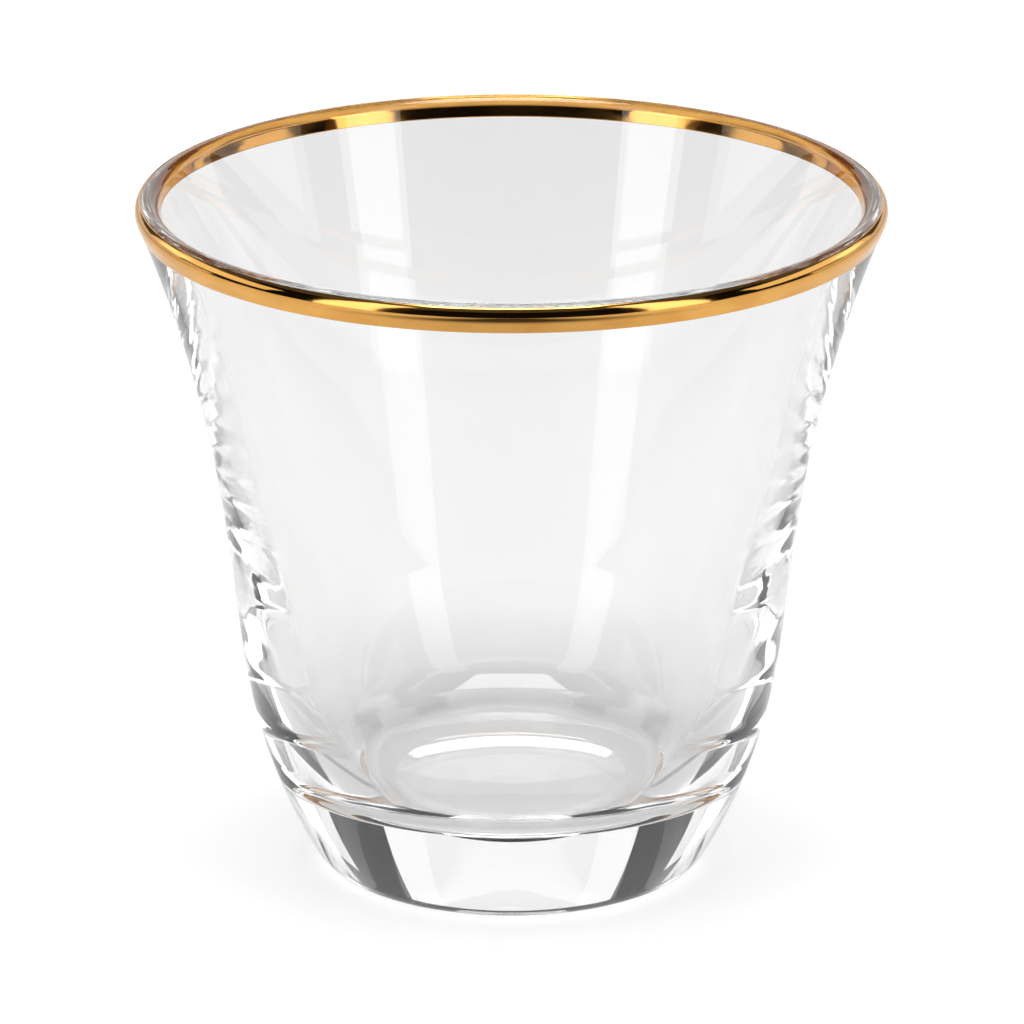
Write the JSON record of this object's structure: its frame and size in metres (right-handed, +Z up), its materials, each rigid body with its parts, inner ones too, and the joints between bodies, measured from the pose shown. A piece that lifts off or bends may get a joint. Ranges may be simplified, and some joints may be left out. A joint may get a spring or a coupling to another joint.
{
  "type": "arabic coffee cup",
  "caption": "Clear glass coffee cup without a handle: heavy rounded base, straight waist and a wall that flares to a rounded lip with a bright gold band round its outside.",
  "frame": {"origin": "centre of the underside, where the cup's axis meets the plane that the foot ring stands on", "axes": "+Z up the cup's axis towards the mouth; +X to the right and +Y away from the viewer, as in the picture"},
  "size_m": [0.07, 0.07, 0.0653],
  "materials": {
    "clear_glass": "clear, fire polished",
    "fired_gold": "bright fired gold"
  },
  "bodies": {
    "root": {"cup_body": "clear_glass", "gold_band": "fired_gold"}
  },
  "joints": []
}
